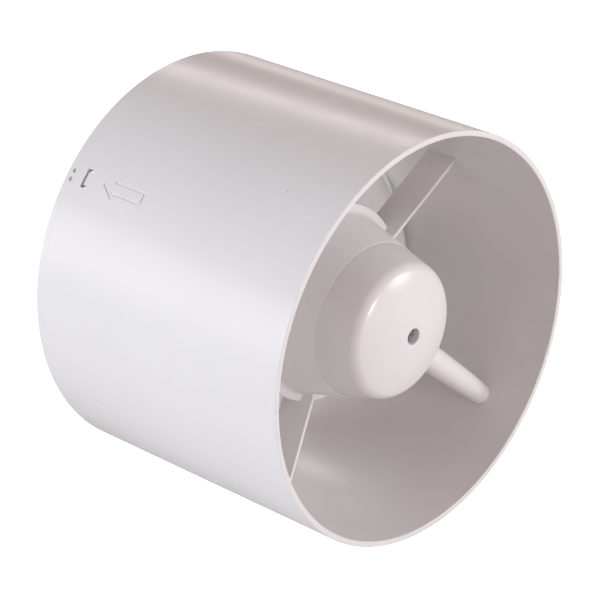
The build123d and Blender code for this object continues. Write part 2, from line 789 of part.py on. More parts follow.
with BuildPart() as rotor_shaft:
    ease = 0.4
    turned(
        (0, shaft_front),
        (shaft_radius - ease, shaft_front),
        (shaft_radius, shaft_front + ease),
        (shaft_radius, shaft_rear - ease),
        (shaft_radius - ease, shaft_rear),
        (0, shaft_rear),
    )
    with BuildSketch(spoke(0, -pin_length, pin_y)):
        Circle(pin_radius + slip / 5)
    extrude(amount=2 * pin_length, mode=Mode.SUBTRACT)
keep(rotor_shaft, "rotor_shaft")

with BuildPart() as drive_pin:
    with BuildSketch(spoke(0, -pin_length / 2, pin_y)):
        Circle(pin_radius)
    extrude(amount=pin_length)
keep(drive_pin, "drive_pin")

with BuildPart() as rotor_core:
    washer(shaft_radius + slip / 5, rotor_radius, stack_front, stack_rear)
keep(rotor_core, "rotor_core")

with BuildPart() as rotor_end_rings:
    washer(end_ring_inner, end_ring_outer, stack_front - end_ring_length, stack_front)
    washer(end_ring_inner, end_ring_outer, stack_rear, stack_rear + end_ring_length)
keep(rotor_end_rings, "rotor_end_rings")

washer_gap = 0.15
spacer_radius = 4.8

with BuildPart() as thrust_washers:
    washer(shaft_radius + slip / 5, spacer_radius, bush_front_low + bush_length_front + washer_gap,
           stack_front)
    washer(shaft_radius + slip / 5, spacer_radius, stack_rear, bush_rear_low - washer_gap)
keep(thrust_washers, "thrust_washers")

# ---- Impeller ----------------------------------------------------------------------------
# A cup over the rear of the motor, with helical blades. The blades' middles follow one helix.

tip_radius = throat_radius - tip_clearance
hub_radius = flange_radius - 0.25
hub_inner = hub_radius - hub_wall
boss_front = impeller_front + 8.5
hub_boss_radius = 7.2
dish_radius = 11.0
dish_depth = 3.6
nut_radius = 5.6
nut_length = 3.2
rib_count = 6
rib_thickness = 1.4


def blade_section(radius):
    """Closed cambered outline of a blade where a flat plane meets the radius."""
    half_turn = impeller_depth / blade_pitch * pi
    half_span = radius * tan(half_turn)
    half_depth = impeller_depth / 2
    chord = sqrt(half_span**2 + half_depth**2)
    across_chord = (-half_span / chord, half_depth / chord)
    high = blade_camber + blade_thickness / 2
    low = blade_camber - blade_thickness / 2
    start = (-half_depth, -half_span)
    end = (half_depth, half_span)
    with BuildSketch(spoke(0, radius, impeller_front + half_depth)) as section:
        with BuildLine():
            ThreePointArc(start, (high * across_chord[0], high * across_chord[1]), end)
            ThreePointArc(start, (low * across_chord[0], low * across_chord[1]), end)
        make_face()
    return section.sketch


with BuildPart() as blade:
    section_radii = (hub_inner, (hub_radius + tip_radius) / 2, tip_radius)
    loft([blade_section(radius) for radius in section_radii])
    washer(0, tip_radius, impeller_front, impeller_rear, mode=Mode.INTERSECT)

with BuildPart() as impeller:
    dish_floor = impeller_rear - dish_depth
    turned(
        (hub_inner, impeller_front),
        (hub_radius - 0.4, impeller_front),
        (hub_radius, impeller_front + 0.4),
        (hub_radius, impeller_rear - hub_edge_radius),
        (hub_radius - 1.5, impeller_rear - 1.5),
        (hub_radius - hub_edge_radius, impeller_rear),
        (dish_radius, impeller_rear),
        (dish_radius, dish_floor),
        (shaft_radius + slip / 5, dish_floor),
        (shaft_radius + slip / 5, boss_front),
        (hub_boss_radius, boss_front),
        (hub_boss_radius, dish_floor - hub_wall),
        (dish_radius + hub_wall, dish_floor - hub_wall),
        (dish_radius + hub_wall, impeller_rear - hub_wall),
        (hub_inner - hub_edge_radius + hub_wall, impeller_rear - hub_wall),
        (hub_inner, impeller_rear - hub_edge_radius),
    )
    for index in range(rib_count):
        block(index * 360 / rib_count + 30, hub_boss_radius - 0.5, hub_inner + 0.5, boss_front + 3,
              dish_floor - 1, rib_thickness)
    for index in range(blade_count):
        add(blade.part.rotate(Axis.Y, -(blade_phase + index * 360 / blade_count)))
    for angle in (0, 180):
        block(angle, 0, hub_boss_radius + 1, boss_front - 1, pin_y + pin_radius + slip,
              2 * pin_radius + 2 * slip, 0, Mode.SUBTRACT)
keep(impeller, "impeller")

with BuildPart() as impeller_nut:
    with BuildSketch(across(dish_floor + nut_length)):
        RegularPolygon(nut_radius, 6)
    extrude(amount=nut_length)
    washer(0, shaft_radius + slip / 5, dish_floor - 1, dish_floor + nut_length + 1,
           mode=Mode.SUBTRACT)
keep(impeller_nut, "impeller_nut")
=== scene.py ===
# %% [markdown]
# # A duct fan, from CAD frame to finished picture
# The object is an in-line bathroom fan: a white plastic tube, a motor pod on five vanes, and an
# impeller behind it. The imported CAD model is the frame. It fixes every size and place, so this
# lesson only builds finer skins over it and gives each piece its finish.

# %% Load the frame
import json
import math

import bmesh
import bpy
import mathutils
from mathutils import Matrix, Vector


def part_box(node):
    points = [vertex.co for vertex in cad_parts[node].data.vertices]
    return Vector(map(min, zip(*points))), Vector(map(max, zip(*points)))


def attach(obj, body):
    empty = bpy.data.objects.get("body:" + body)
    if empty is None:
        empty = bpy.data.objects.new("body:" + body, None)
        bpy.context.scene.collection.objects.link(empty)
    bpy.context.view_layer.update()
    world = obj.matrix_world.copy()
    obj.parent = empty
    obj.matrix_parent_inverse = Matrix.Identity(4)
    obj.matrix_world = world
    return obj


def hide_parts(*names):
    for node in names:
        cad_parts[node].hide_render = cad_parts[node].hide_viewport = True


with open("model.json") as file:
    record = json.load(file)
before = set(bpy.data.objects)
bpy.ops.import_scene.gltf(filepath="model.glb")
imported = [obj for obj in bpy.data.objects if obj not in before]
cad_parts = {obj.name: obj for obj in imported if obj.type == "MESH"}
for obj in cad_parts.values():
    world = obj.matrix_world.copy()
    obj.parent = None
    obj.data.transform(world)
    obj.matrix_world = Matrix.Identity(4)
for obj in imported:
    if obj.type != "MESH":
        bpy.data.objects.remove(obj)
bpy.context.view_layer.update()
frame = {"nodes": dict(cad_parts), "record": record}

MM = 0.001
scene = bpy.context.scene

# %% [markdown]
# ## Sizes
# The large sizes are read from the frame, so a skin can't drift away from its CAD piece. The
# rest are thicknesses and small radii that only show in the finished object. Angles run round
# the duct from +X towards +Z, and +Y is the direction of the air.

# %% Read the driving sizes
tube_low, tube_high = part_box("duct_tube")
ring_low, ring_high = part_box("rear_ring")
cap_low, cap_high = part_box("motor_cap")
wheel_low, wheel_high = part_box("impeller")
carrier_low, carrier_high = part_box("motor_carrier")

TUBE_R = tube_high.x
WALL = 2.14 * MM
BORE_R = TUBE_R - WALL
THROAT_R = BORE_R - 0.4 * MM
INTAKE_Y = tube_low.y
SEAM_Y = ring_low.y + 11.5 * MM
OUTLET_Y = ring_high.y
CONDUIT_ANGLE = -40.5
MARK_ANGLE = CONDUIT_ANGLE + 180
VANES = 5
HOOKS = 3
CAP_FACE_Y = cap_low.y
PARTING_Y = carrier_low.y
VANE_REAR_Y = carrier_high.y
VANE_FRONT_Y = VANE_REAR_Y - 13.5 * MM
CAP_R = cap_high.x
SHOULDER_R = CAP_R + 4.6 * MM
SHOULDER_Y = PARTING_Y + 15.4 * MM
FLANGE_R = SHOULDER_R + 3.75 * MM
FLANGE_Y = SHOULDER_Y + 4.7 * MM
POD_WALL = 1.8 * MM
CONDUIT_Y = PARTING_Y - 5.1 * MM
ROUND_STEPS = 240
print("tube radius", round(TUBE_R, 4), "length", round(OUTLET_Y - INTAKE_Y, 4))

# %% [markdown]
# ## Helpers for turned pieces
# Nearly everything here is a moulding turned round the duct's axis, so its shape is one outline
# of radius against length. A sharp corner never leaves a mould, so each outline point may carry
# a small corner radius, which becomes an arc before the outline is spun.


# %% Outline and turning helpers
def soften(outline, steps=5):
    """Replace corners of a closed (radius, y, corner) outline by arcs of the corner radius."""
    points = []
    count = len(outline)
    for index, (x, y, corner) in enumerate(outline):
        here = mathutils.Vector((x, y))
        before = mathutils.Vector(outline[index - 1][:2]) - here
        after = mathutils.Vector(outline[(index + 1) % count][:2]) - here
        if corner == 0:
            points.append(here)
            continue
        half = before.angle(after) / 2
        reach = corner / math.tan(half)
        centre = here + (before.normalized() + after.normalized()).normalized() * corner / math.sin(half)
        start = here + before.normalized() * reach - centre
        end = here + after.normalized() * reach - centre
        sweep = start.angle_signed(end)
        for step in range(steps + 1):
            turn = -sweep * step / steps
            spun = mathutils.Matrix.Rotation(turn, 2) @ start
            points.append(centre + spun)
    return [(point.x, point.y) for point in points]


def crown(face, level_radius, slope, dome, edge, start, steps=10):
    """Outline points over a domed face, from a start radius round its edge to a cone's side."""
    side = mathutils.Vector((1, -slope)).normalized()
    forward = mathutils.Vector((-slope, -1)).normalized()
    dome_centre = mathutils.Vector((0, face + dome))
    reach = mathutils.Vector((level_radius, face)) - side * edge - dome_centre
    sunk = reach.dot(forward)
    along = math.sqrt(sunk**2 - reach.length_squared + (dome - edge) ** 2) - sunk
    centre = dome_centre + reach + forward * along
    high = math.atan2(side.y, side.x)
    low = math.atan2(*reversed(centre - dome_centre))
    end = math.asin((centre.x + edge * math.cos(low)) / dome)
    begin = math.asin(start / dome)
    points = []
    for step in range(steps):
        turn = begin + (end - begin) * step / steps
        points.append((dome * math.sin(turn), face + dome * (1 - math.cos(turn)), 0))
    for step in range(steps + 1):
        turn = low + (high - low) * step / steps
        points.append((centre.x + edge * math.cos(turn), centre.y + edge * math.sin(turn), 0))
    return points


def around(radius, angle, y):
    """A point at a radius, an angle in degrees round the duct, and a place along it."""
    turn = math.radians(angle)
    return mathutils.Vector((radius * math.cos(turn), y, radius * math.sin(turn)))


def turned(outline, steps=ROUND_STEPS):
    """Spin a closed (radius, y) outline round the duct's axis into a closed mesh."""
    shape = bmesh.new()
    rings = []
    for radius, y in outline:
        if radius < 1e-7:
            rings.append([shape.verts.new((0, y, 0))] * steps)
        else:
            rings.append([shape.verts.new(around(radius, 360 * step / steps, y))
                          for step in range(steps)])
    for index, ring in enumerate(rings):
        following = rings[(index + 1) % len(rings)]
        for step in range(steps):
            ahead = (step + 1) % steps
            corners = []
            for vert in (ring[step], ring[ahead], following[ahead], following[step]):
                if vert not in corners:
                    corners.append(vert)
            if len(corners) > 2:
                shape.faces.new(corners)
    bmesh.ops.recalc_face_normals(shape, faces=shape.faces)
    return shape


def finish_mesh(shape, name, sharp=32):
    """Turn a bmesh into an object with smooth faces and crisp edges past an angle."""
    mesh = bpy.data.meshes.new(name)
    shape.to_mesh(mesh)
    shape.free()
    mesh.shade_smooth()
    mesh.set_sharp_from_angle(angle=math.radians(sharp))
    piece = bpy.data.objects.new(name, mesh)
    scene.collection.objects.link(piece)
    return piece


# %% [markdown]
# ## Shader groups
# The same few effects come back in many finishes: the faint ripple and speckle of a moulding,
# fine scratches from handling, and the grain of worked metal. Each is one node group with named
# sockets. A group only puts out masks, colours and heights, and the shader stays in the material.


# %% Node helpers
def new_group(name, inputs, outputs):
    """An empty shader group with named float or colour sockets and its two end nodes."""
    group = bpy.data.node_groups.new(name, "ShaderNodeTree")
    for label, kind, value in inputs:
        socket = group.interface.new_socket(label, in_out="INPUT", socket_type=kind)
        socket.default_value = value
    for label, kind in outputs:
        group.interface.new_socket(label, in_out="OUTPUT", socket_type=kind)
    return group, group.nodes.new("NodeGroupInput"), group.nodes.new("NodeGroupOutput")


def add(tree, kind, links=(), values=(), **settings):
    """Add a node, set its properties and socket values, and link sockets into its inputs."""
    node = tree.nodes.new(kind)
    for key, value in settings.items():
        setattr(node, key, value)
    for key, value in values:
        node.inputs[key].default_value = value
    for key, source in links:
        tree.links.new(source, node.inputs[key])
    return node


def noise(tree, vector, scale, detail=2.0, roughness=0.5):
    """A noise texture's value on the given coordinates."""
    node = add(tree, "ShaderNodeTexNoise", [("Vector", vector)],
               [("Detail", detail), ("Roughness", roughness)])
    if isinstance(scale, (int, float)):
        node.inputs["Scale"].default_value = scale
    else:
        tree.links.new(scale, node.inputs["Scale"])
    return node.outputs["Fac"]


def ramp(tree, value, low, high, out_low=0.0, out_high=1.0):
    """Map a value from one range to another, clamped, with an eased step."""
    node = add(tree, "ShaderNodeMapRange", [("Value", value)],
               [("From Min", low), ("From Max", high), ("To Min", out_low), ("To Max", out_high)])
    node.interpolation_type = "SMOOTHSTEP"
    return node.outputs["Result"]


def maths(tree, operation, first, second):
    """A maths node on two sockets or numbers."""
    node = tree.nodes.new("ShaderNodeMath")
    node.operation = operation
    for index, value in enumerate((first, second)):
        if isinstance(value, (int, float)):
            node.inputs[index].default_value = value
        else:
            tree.links.new(value, node.inputs[index])
    return node.outputs[0]


def blend_colour(tree, mask, first, second):
    """Mix two colours or colour sockets by a mask."""
    node = tree.nodes.new("ShaderNodeMix")
    node.data_type = "RGBA"
    tree.links.new(mask, node.inputs["Factor"])
    for index, value in ((6, first), (7, second)):
        if isinstance(value, tuple):
            node.inputs[index].default_value = value
        else:
            tree.links.new(value, node.inputs[index])
    return node.outputs[2]


# %% Moulded skin: ripple, speckle and slight unevenness of colour
skin_group, skin_in, skin_out = new_group(
    "moulded_skin",
    [("Coordinates", "NodeSocketVector", (0, 0, 0)), ("Base", "NodeSocketColor", (0.8, 0.8, 0.8, 1)),
     ("Shade", "NodeSocketColor", (0.75, 0.75, 0.75, 1)), ("Ripple Scale", "NodeSocketFloat", 90.0),
     ("Speckle Scale", "NodeSocketFloat", 1400.0)],
    [("Color", "NodeSocketColor"), ("Height", "NodeSocketFloat")],
)
skin_clouds = noise(skin_group, skin_in.outputs["Coordinates"], 22.0, 1.0)
skin_ripple = noise(skin_group, skin_in.outputs["Coordinates"], skin_in.outputs["Ripple Scale"], 1.0)
skin_speckle = noise(skin_group, skin_in.outputs["Coordinates"], skin_in.outputs["Speckle Scale"], 2.0)
skin_mix = blend_colour(skin_group, ramp(skin_group, skin_clouds, 0.35, 0.7), skin_in.outputs["Base"],
                        skin_in.outputs["Shade"])
skin_group.links.new(skin_mix, skin_out.inputs["Color"])
skin_height = maths(skin_group, "ADD", maths(skin_group, "MULTIPLY", skin_ripple, 1.0),
                    maths(skin_group, "MULTIPLY", skin_speckle, 0.06))
skin_group.links.new(skin_height, skin_out.inputs["Height"])

# %% Handling marks: sparse hair scratches, soft smudges and specks of dust
marks_group, marks_in, marks_out = new_group(
    "handling_marks",
    [("Coordinates", "NodeSocketVector", (0, 0, 0))],
    [("Scratches", "NodeSocketFloat"), ("Smudges", "NodeSocketFloat"), ("Specks", "NodeSocketFloat")],
)
marks_place = marks_in.outputs["Coordinates"]
scratch_sum = None
for stretch, turn in (((1, 0.12, 0.4), 0.4), ((0.3, 0.5, 1), -0.6)):
    drawn = add(marks_group, "ShaderNodeMapping", [("Vector", marks_place)],
                [("Scale", stretch), ("Rotation", (turn, 0.2, 0.5))])
    wander = noise(marks_group, drawn.outputs[0], 210.0, 0.0)
    away = maths(marks_group, "ABSOLUTE", maths(marks_group, "SUBTRACT", wander, 0.5), 0)
    hair = ramp(marks_group, away, 0.0, 0.006, 1.0, 0.0)
    scratch_sum = hair if scratch_sum is None else maths(marks_group, "MAXIMUM", scratch_sum, hair)
patches = ramp(marks_group, noise(marks_group, marks_place, 60.0, 1.0), 0.60, 0.72)
marks_group.links.new(maths(marks_group, "MULTIPLY", scratch_sum, patches),
                      marks_out.inputs["Scratches"])
smudges = ramp(marks_group, noise(marks_group, marks_place, 30.0, 3.0), 0.35, 0.75)
marks_group.links.new(smudges, marks_out.inputs["Smudges"])
cells = add(marks_group, "ShaderNodeTexVoronoi", [("Vector", marks_place)], [("Scale", 75.0)])
speck = ramp(marks_group, cells.outputs["Distance"], 0.018, 0.035, 1.0, 0.0)
chosen = add(marks_group, "ShaderNodeSeparateColor", [("Color", cells.outputs["Color"])])
rare = ramp(marks_group, chosen.outputs[0], 0.72, 0.74)
marks_group.links.new(maths(marks_group, "MULTIPLY", speck, rare), marks_out.inputs["Specks"])

# %% Metal grain: streaks drawn out along one axis, with a fine tooth
grain_group, grain_in, grain_out = new_group(
    "metal_grain",
    [("Coordinates", "NodeSocketVector", (0, 0, 0)), ("Stretch", "NodeSocketVector", (1, 1, 1)),
     ("Scale", "NodeSocketFloat", 900.0)],
    [("Streaks", "NodeSocketFloat"), ("Tooth", "NodeSocketFloat")],
)
stretched = add(grain_group, "ShaderNodeVectorMath", [(0, grain_in.outputs["Coordinates"]),
                (1, grain_in.outputs["Stretch"])], operation="MULTIPLY")
grain_group.links.new(noise(grain_group, stretched.outputs[0], grain_in.outputs["Scale"], 3.0),
                      grain_out.inputs["Streaks"])
grain_group.links.new(noise(grain_group, grain_in.outputs["Coordinates"], 2600.0, 2.0),
                      grain_out.inputs["Tooth"])
print("shader groups:", [group.name for group in bpy.data.node_groups])

# %% [markdown]
# ## Finishes
# The fan is one white ABS all over, so its finish decides the picture. Gloss ABS is nearly
# mirror smooth but never flat: a slow ripple left by cooling bends its reflections. Light also
# goes a little way in and softens thin edges, but only the bobbin nylon gets a trace of subsurface.


# %% Material helpers
def new_material(name):
    """A material with its Principled shader and object coordinates."""
    material = bpy.data.materials.new(name)
    material.use_nodes = True
    shader = material.node_tree.nodes["Principled BSDF"]
    coordinates = material.node_tree.nodes.new("ShaderNodeTexCoord").outputs["Object"]
    return material, material.node_tree, shader, coordinates


def placed(tree, group, coordinates, values):
    """Place a shader group in a material with its own values."""
    node = tree.nodes.new("ShaderNodeGroup")
    node.node_tree = group
    tree.links.new(coordinates, node.inputs["Coordinates"])
    for key, value in values:
        node.inputs[key].default_value = value
    return node


def bump(tree, shader, height, distance, strength=1.0):
    """Feed a height into the shader's normal."""
    node = add(tree, "ShaderNodeBump", [("Height", height)],
               [("Distance", distance), ("Strength", strength)])
    tree.links.new(node.outputs["Normal"], shader.inputs["Normal"])


def moulding(name, base, shade, rough, rough_spread=0.03, ripple=40.0, depth=0.02 * MM, subsurface=0.0):
    """A moulded plastic with its own colour, gloss and ripple."""
    material, tree, shader, coordinates = new_material(name)
    skin = placed(tree, skin_group, coordinates,
                  [("Base", base + (1,)), ("Shade", shade + (1,)), ("Ripple Scale", ripple)])
    wear = placed(tree, marks_group, coordinates, [])
    speckled = blend_colour(tree, maths(tree, "MULTIPLY", wear.outputs["Specks"], 0.35),
                            skin.outputs["Color"], (0.10, 0.09, 0.08, 1))
    tree.links.new(speckled, shader.inputs["Base Color"])
    dull = ramp(tree, wear.outputs["Smudges"], 0.0, 1.0, rough, rough + rough_spread)
    worn = maths(tree, "ADD", dull, maths(tree, "MULTIPLY", wear.outputs["Scratches"], 0.012))
    tree.links.new(worn, shader.inputs["Roughness"])
    bump(tree, shader, skin.outputs["Height"], depth)
    if subsurface:
        shader.inputs["Subsurface Weight"].default_value = subsurface
        shader.inputs["Subsurface Radius"].default_value = (1.0, 0.9, 0.8)
        shader.inputs["Subsurface Scale"].default_value = 0.8 * MM
    return material


def metal(name, base, shade, rough, stretch=(1, 1, 1), scale=900.0, depth=0.01 * MM, metallic=1.0):
    """A worked metal with streaks along one axis."""
    material, tree, shader, coordinates = new_material(name)
    grain = placed(tree, grain_group, coordinates, [("Stretch", stretch), ("Scale", scale)])
    shader.inputs["Metallic"].default_value = metallic
    colour = blend_colour(tree, ramp(tree, grain.outputs["Streaks"], 0.35, 0.65), base + (1,), shade + (1,))
    tree.links.new(colour, shader.inputs["Base Color"])
    tree.links.new(ramp(tree, grain.outputs["Streaks"], 0.3, 0.7, rough, rough + 0.15),
                   shader.inputs["Roughness"])
    tooth = maths(tree, "MULTIPLY", grain.outputs["Tooth"], 0.4)
    height = maths(tree, "ADD", grain.outputs["Streaks"], tooth)
    bump(tree, shader, height, depth)
    return material


# %% The white plastics
shell_white = moulding("shell_white", (0.82, 0.81, 0.81), (0.81, 0.80, 0.80), 0.24)
wheel_white = moulding("wheel_white", (0.80, 0.79, 0.79), (0.785, 0.775, 0.775), 0.30, ripple=60.0)

# %% Plastics inside the pod
tray_plastic = moulding("tray_plastic", (0.58, 0.58, 0.56), (0.52, 0.52, 0.50), 0.45, ripple=300.0)
terminal_plastic = moulding("terminal_plastic", (0.70, 0.66, 0.55), (0.64, 0.60, 0.50), 0.38, ripple=260.0)
bobbin_nylon = moulding("bobbin_nylon", (0.72, 0.70, 0.62), (0.66, 0.64, 0.56), 0.42, ripple=260.0,
                        subsurface=0.1)
lead_sleeve = moulding("lead_sleeve", (0.03, 0.08, 0.32), (0.02, 0.06, 0.25), 0.40, ripple=500.0)
cutout_case = moulding("cutout_case", (0.03, 0.028, 0.025), (0.02, 0.02, 0.018), 0.50, ripple=500.0)
soft_rubber = moulding("soft_rubber", (0.025, 0.025, 0.025), (0.018, 0.018, 0.018), 0.70, ripple=700.0)

# %% Metals
zinc_screw = metal("zinc_screw", (0.62, 0.63, 0.66), (0.50, 0.51, 0.55), 0.25, (1, 0.3, 1))
shaft_steel = metal("shaft_steel", (0.60, 0.60, 0.62), (0.48, 0.48, 0.50), 0.18, (0.2, 8, 0.2))
terminal_brass = metal("terminal_brass", (0.75, 0.55, 0.22), (0.62, 0.44, 0.17), 0.28, (1, 0.3, 1))
cast_aluminium = metal("cast_aluminium", (0.62, 0.63, 0.64), (0.52, 0.53, 0.54), 0.42, (1, 1, 1), 500.0,
                       0.04 * MM)
sintered_bronze = metal("sintered_bronze", (0.42, 0.27, 0.13), (0.30, 0.19, 0.10), 0.48, (1, 1, 1), 1800.0,
                        0.04 * MM)
enamelled_copper = metal("enamelled_copper", (0.50, 0.19, 0.08), (0.38, 0.13, 0.05), 0.22, (1, 1, 1), 700.0)
lamination_steel = metal("lamination_steel", (0.26, 0.26, 0.28), (0.16, 0.16, 0.18), 0.35, (1, 1, 1), 900.0)

# %% Felt: matted fibres, no shine
oiled_felt, felt_tree, felt_shader, felt_place = new_material("oiled_felt")
fibres = noise(felt_tree, felt_place, 2200.0, 5.0, 0.7)
felt_tree.links.new(blend_colour(felt_tree, fibres, (0.10, 0.08, 0.05, 1), (0.30, 0.25, 0.17, 1)),
                    felt_shader.inputs["Base Color"])
felt_shader.inputs["Roughness"].default_value = 0.95
bump(felt_tree, felt_shader, fibres, 0.2 * MM)
print("materials:", len(bpy.data.materials))

# %% [markdown]
# ## The duct tube
# A tube open at both ends. Its outline is turned with small rounded rims, and past the vanes the
# bore narrows to the throat over a long, soft ramp. The windows, pips, arrow and cable hole are
# cut with one boolean, from cutters that are built here too.


# %% Piece helpers
def prism(shape, outline, angle, y_shift, inner, outer, hole=()):
    """Add a straight prism on a spoke: outline points are (along the duct, round it)."""
    turn = math.radians(angle)
    out = mathutils.Vector((math.cos(turn), 0, math.sin(turn)))
    side = mathutils.Vector((-math.sin(turn), 0, math.cos(turn)))
    loops = []
    for path in (outline, hole):
        for radius in (inner, outer):
            loops.append([shape.verts.new(out * radius + side * v + mathutils.Vector((0, u + y_shift, 0)))
                          for u, v in path])
    faces = []
    for low, high in ((loops[0], loops[1]), (loops[2], loops[3])):
        count = len(low)
        faces += [shape.faces.new((low[i], low[(i + 1) % count], high[(i + 1) % count], high[i]))
                  for i in range(count)]
    if hole:
        count = len(loops[0])
        for outside, inside in ((loops[0], loops[2]), (loops[1], loops[3])):
            faces += [shape.faces.new((outside[i], outside[(i + 1) % count],
                                       inside[(i + 1) % count], inside[i]))
                      for i in range(count)]
    else:
        faces += [shape.faces.new(loops[0]), shape.faces.new(loops[1])]
    bmesh.ops.recalc_face_normals(shape, faces=faces)


def rounded_box(half_length, half_width, corner):
    """A rectangle's outline with rounded corners."""
    corners = [(-half_length, -half_width, corner), (half_length, -half_width, corner),
               (half_length, half_width, corner), (-half_length, half_width, corner)]
    return soften(corners, 4)


def disc(radius, steps=32):
    """A circle's outline."""
    return [(radius * math.cos(2 * math.pi * i / steps), radius * math.sin(2 * math.pi * i / steps))
            for i in range(steps)]


def cut(piece, cutters):
    """Subtract a bmesh from a piece and apply it."""
    mesh = bpy.data.meshes.new("cutter")
    cutters.to_mesh(mesh)
    cutters.free()
    tool = bpy.data.objects.new("cutter", mesh)
    scene.collection.objects.link(tool)
    modifier = piece.modifiers.new("cut", "BOOLEAN")
    modifier.operation = "DIFFERENCE"
    modifier.solver = "EXACT"
    modifier.object = tool
    bake(piece)
    bpy.data.objects.remove(tool)


def bake(piece):
    """Apply a piece's modifiers to its mesh."""
    bpy.context.view_layer.update()
    seen = piece.evaluated_get(bpy.context.evaluated_depsgraph_get())
    mesh = bpy.data.meshes.new_from_object(seen)
    piece.modifiers.clear()
    piece.data = mesh


def true_normals(piece, sharp=32):
    """Give faces that lie on a turned surface the exact normals of that surface."""
    mesh = piece.data
    mesh.shade_smooth()
    mesh.set_sharp_from_angle(angle=math.radians(sharp))
    normals = [mathutils.Vector(item.vector) for item in mesh.corner_normals]
    for face in mesh.polygons:
        centre = face.center
        out = mathutils.Vector((centre.x, 0, centre.z)).normalized()
        facing = face.normal.dot(out)
        if abs(facing) > 0.999:
            for corner in face.loop_indices:
                place = mesh.vertices[mesh.loops[corner].vertex_index].co
                straight = mathutils.Vector((place.x, 0, place.z)).normalized()
                normals[corner] = straight * math.copysign(1, facing)
    mesh.normals_split_custom_set(normals)


def install(piece, material, body, slot, *nodes):
    """Give a finished piece its material and body, and hide the CAD nodes that it stands for. The slot
    argument is not used.
    """
    piece.data.materials.clear()
    piece.data.materials.append(material)
    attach(piece, body)
    if nodes:
        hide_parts(*nodes)
    print(piece.name, len(piece.data.polygons), "faces")
    return piece


# %% Turn the tube
RIM = 0.45 * MM
SEAM_EDGE = 0.06 * MM
POCKET = 12 * MM         # the bore's wider part that takes the ring's skirt
RAMP = 10 * MM
RAMP_BEND = 90 * MM
tube_outline = soften([
    (BORE_R, INTAKE_Y, RIM),
    (TUBE_R, INTAKE_Y, RIM),
    (TUBE_R, SEAM_Y, SEAM_EDGE),
    (BORE_R, SEAM_Y, SEAM_EDGE),
    (BORE_R, SEAM_Y - POCKET, 0.1 * MM),
    (THROAT_R, SEAM_Y - POCKET - (BORE_R - THROAT_R), 0.1 * MM),
    (THROAT_R, VANE_REAR_Y + RAMP, RAMP_BEND),
    (BORE_R, VANE_REAR_Y, RAMP_BEND),
])
duct_shell = finish_mesh(turned(tube_outline), "duct_shell")

# %% Cut the windows, pips, arrow and cable hole
WINDOW_Y = SEAM_Y - 6.8 * MM
WINDOW_ANGLE = MARK_ANGLE + 1.0
PIP_ANGLES = (MARK_ANGLE + 0.1, MARK_ANGLE + 2.6)
PIP_R = 0.9 * MM
PIP_DEPTH = 0.8 * MM
ARROW_TIP_Y = OUTLET_Y - 18.1 * MM
ARROW_ANGLE = MARK_ANGLE + 0.9
ARROW_DEPTH = 0.35 * MM
ARROW_LINE = 0.8 * MM
CUT_IN = 3 * MM          # how far cutters reach past a wall on either side
CUT_OUT = 2 * MM


def arrow_outline(inset):
    """The arrow's outline, pulled in by an inset, tip towards the outlet."""
    head, tail, half_head, half_neck = -5.9 * MM, -20.0 * MM, 4.1 * MM, 2.45 * MM
    slope = math.atan2(half_head, -head)
    tip = -inset / math.sin(slope)
    back = head + inset
    wing = (tip - back) * math.tan(slope)
    neck = half_neck - inset
    shape = [(tip, 0), (back, wing), (back, neck), (tail + inset, neck)]
    return shape + [(u, -v) for u, v in reversed(shape[1:])]


def pips(shape):
    """Add cutters for the two pips across the seam."""
    for angle in PIP_ANGLES:
        prism(shape, disc(PIP_R, 20), angle, SEAM_Y, TUBE_R - PIP_DEPTH, TUBE_R + 1 * MM)


tube_cutters = bmesh.new()
window = rounded_box(1.35 * MM, 3.6 * MM, 0.5 * MM)
for index in range(HOOKS):
    prism(tube_cutters, window, WINDOW_ANGLE + 360 / HOOKS * index, WINDOW_Y, BORE_R - CUT_IN,
          TUBE_R + CUT_OUT)
prism(tube_cutters, disc(4.2 * MM), CONDUIT_ANGLE, CONDUIT_Y, BORE_R - CUT_IN, TUBE_R + CUT_OUT)
pips(tube_cutters)
prism(tube_cutters, arrow_outline(0), ARROW_ANGLE, ARROW_TIP_Y, TUBE_R - ARROW_DEPTH,
      TUBE_R + 1 * MM, arrow_outline(ARROW_LINE))
cut(duct_shell, tube_cutters)
true_normals(duct_shell)
install(duct_shell, shell_white, "housing", "shell_white", "duct_tube")

# %% [markdown]
# ## The outlet ring
# The ring snaps into the outlet end. Its flange meets the tube in a fine seam, and each hook
# stands in a window of the tube, on a tongue freed by two slits in the skirt.

# %% Turn the ring and add its hooks
SKIRT_R = BORE_R - 0.1 * MM
SKIRT_WALL = 1.5 * MM
SKIRT_Y = SEAM_Y - 11.5 * MM
ring_outline = soften([
    (SKIRT_R - SKIRT_WALL, SKIRT_Y, 0.3 * MM),
    (SKIRT_R, SKIRT_Y, 0.5 * MM),
    (SKIRT_R, SEAM_Y, 0.05 * MM),
    (TUBE_R, SEAM_Y, SEAM_EDGE),
    (TUBE_R, OUTLET_Y, RIM),
    (SKIRT_R - SKIRT_WALL, OUTLET_Y, RIM),
])
outlet_ring = finish_mesh(turned(ring_outline), "outlet_ring")
ring_cutters = bmesh.new()
SLIT_SIDE = 3.15 * MM
for index in range(HOOKS):
    for side in (-1, 1):
        slit = [(u, v + side * SLIT_SIDE) for u, v in rounded_box(5 * MM, 0.45 * MM, 0.2 * MM)]
        prism(ring_cutters, slit, WINDOW_ANGLE + 360 / HOOKS * index, SKIRT_Y + 4 * MM,
              SKIRT_R - CUT_IN, SKIRT_R + 1 * MM)
pips(ring_cutters)
cut(outlet_ring, ring_cutters)
true_normals(outlet_ring)
HOOK_FOOT = 0.8 * MM     # how far the hooks sink into the skirt
HOOK_INSET = 0.7 * MM    # their tops lie this far below the tube's outside
hooks = bmesh.new()
